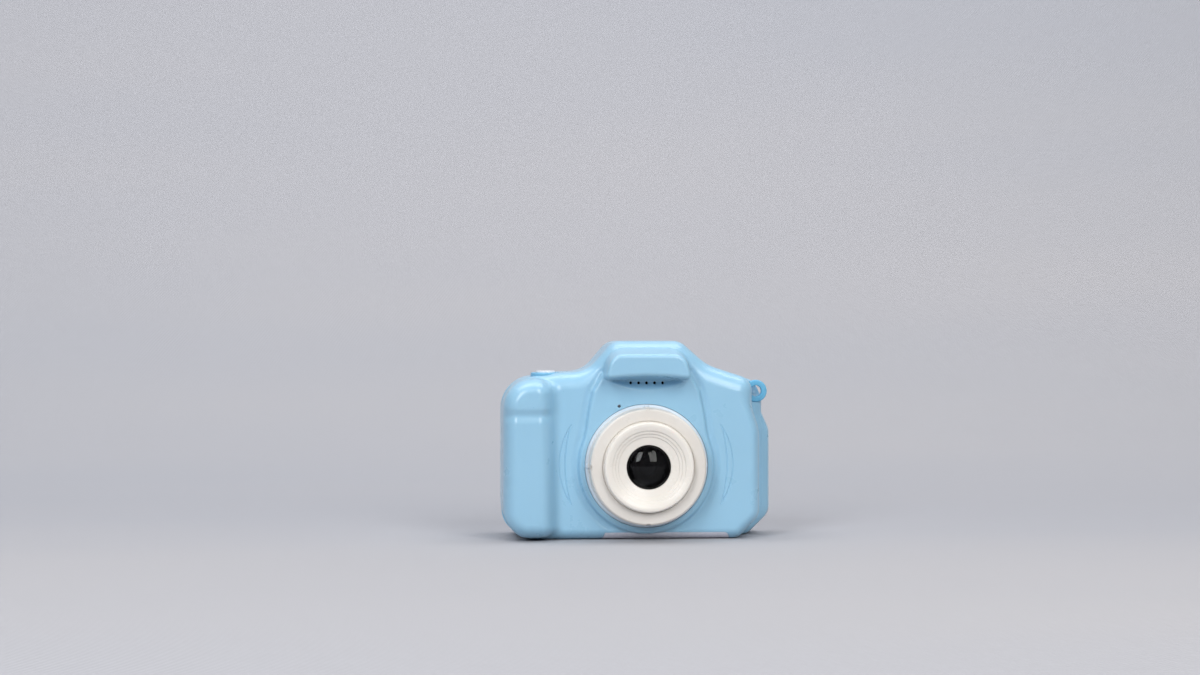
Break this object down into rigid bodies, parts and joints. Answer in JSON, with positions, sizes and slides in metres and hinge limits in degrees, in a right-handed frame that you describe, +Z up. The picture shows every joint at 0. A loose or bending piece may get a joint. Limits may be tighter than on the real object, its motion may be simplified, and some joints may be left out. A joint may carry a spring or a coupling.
{
  "type": "kids digital camera",
  "caption": "Compact digital camera for children with a rounded light-blue case, hand grip, hood over a fixed white lens barrel, sprung buttons, rear screen and hinged port cover.",
  "frame": {"origin": "middle of the bounding box in plan, on the surface the camera stands on", "axes": "+X to the right seen from the front, +Y towards the back, -Y along the view of the lens, +Z up"},
  "size_m": [0.0824, 0.04, 0.0596],
  "materials": {
    "case": "satin moulded plastic, fine grain",
    "cover": "satin, slightly flexible",
    "trim": "polished edge",
    "bezel_blue": "semi-gloss",
    "label": "printed film, blank",
    "screw_steel": "zinc plated",
    "lens_white": "warm white, semi-gloss",
    "lens_black": "black",
    "lens_glass": "coated, domed",
    "module_black": "matte",
    "flex": "polyimide film",
    "inner_black": "moulded",
    "button_white": "polished",
    "spring_steel": "drawn wire",
    "board": "green solder mask",
    "window_glass": "black printed acrylic",
    "lcd": "dark glass, switched off",
    "tray_steel": "folded sheet",
    "switch_steel": "stamped",
    "chips": "moulded packages",
    "socket_steel": "plated shell",
    "battery_foil": "pouch cell",
    "tape": "foam tape",
    "lead_red": "insulated wires, red and black",
    "lead_black": "insulated wires, red and black",
    "speaker_black": "frame and cone",
    "mic_steel": "can",
    "key_white": "satin white"
  },
  "bodies": {
    "camera": {"front_shell": "case", "rear_shell": "case", "strap_loop": "trim", "rating_label": "label", "case_screws": "screw_steel", "lens_barrel": "lens_white", "lens_disc": "lens_white", "lens_bezel": "lens_black", "front_lens": "lens_glass", "camera_module": "module_black", "camera_flex": "flex", "lens_retainer": "inner_black", "retainer_screws": "screw_steel", "shutter_bezel": "bezel_blue", "shutter_spring": "spring_steel", "top_board": "board", "screen_window": "window_glass", "lcd_panel": "lcd", "lcd_tray": "tray_steel", "lcd_flex": "flex", "key_switches": "switch_steel", "main_board": "board", "board_screws": "screw_steel", "board_chips": "chips", "usb_socket": "socket_steel", "card_socket": "socket_steel", "battery": "battery_foil", "battery_tape": "tape", "battery_leads": "lead_red", "speaker": "speaker_black", "speaker_leads": "lead_black", "microphone": "mic_steel"},
    "shutter": {"shutter_button": "button_white"},
    "cover": {"port_cover": "cover"},
    "up_key": {"key_up": "key_white"},
    "down_key": {"key_down": "key_white"},
    "left_key": {"key_left": "key_white"},
    "right_key": {"key_right": "key_white"},
    "ok_key": {"key_ok": "key_white"},
    "menu_key": {"key_menu": "key_white"},
    "play_key": {"key_play": "key_white"},
    "power_key": {"key_power": "key_white"}
  },
  "joints": [
    {"name": "shutter_press", "type": "slide", "parent": "camera", "child": "shutter", "axis": [0, 0, -1], "range_m": [0, 0.0008], "stiffness_N_per_m": 600, "springref_m": -0.0004, "deforming": ["shutter_spring"]},
    {"name": "cover_hinge", "type": "hinge", "parent": "camera", "child": "cover", "pos_m": [0.04045, 0.0082, 0.0215], "axis": [0, 0, -1], "range_deg": [0, 95]},
    {"name": "up_key_press", "type": "slide", "parent": "camera", "child": "up_key", "axis": [0, -1, 0], "range_m": [0, 0.0005], "stiffness_N_per_m": 700, "springref_m": -0.0003},
    {"name": "down_key_press", "type": "slide", "parent": "camera", "child": "down_key", "axis": [0, -1, 0], "range_m": [0, 0.0005], "stiffness_N_per_m": 700, "springref_m": -0.0003},
    {"name": "left_key_press", "type": "slide", "parent": "camera", "child": "left_key", "axis": [0, -1, 0], "range_m": [0, 0.0005], "stiffness_N_per_m": 700, "springref_m": -0.0003},
    {"name": "right_key_press", "type": "slide", "parent": "camera", "child": "right_key", "axis": [0, -1, 0], "range_m": [0, 0.0005], "stiffness_N_per_m": 700, "springref_m": -0.0003},
    {"name": "ok_key_press", "type": "slide", "parent": "camera", "child": "ok_key", "axis": [0, -1, 0], "range_m": [0, 0.0005], "stiffness_N_per_m": 700, "springref_m": -0.0003},
    {"name": "menu_key_press", "type": "slide", "parent": "camera", "child": "menu_key", "axis": [0, -1, 0], "range_m": [0, 0.0005], "stiffness_N_per_m": 700, "springref_m": -0.0003},
    {"name": "play_key_press", "type": "slide", "parent": "camera", "child": "play_key", "axis": [0, -1, 0], "range_m": [0, 0.0005], "stiffness_N_per_m": 700, "springref_m": -0.0003},
    {"name": "power_key_press", "type": "slide", "parent": "camera", "child": "power_key", "axis": [0, -1, 0], "range_m": [0, 0.0005], "stiffness_N_per_m": 700, "springref_m": -0.0003}
  ]
}
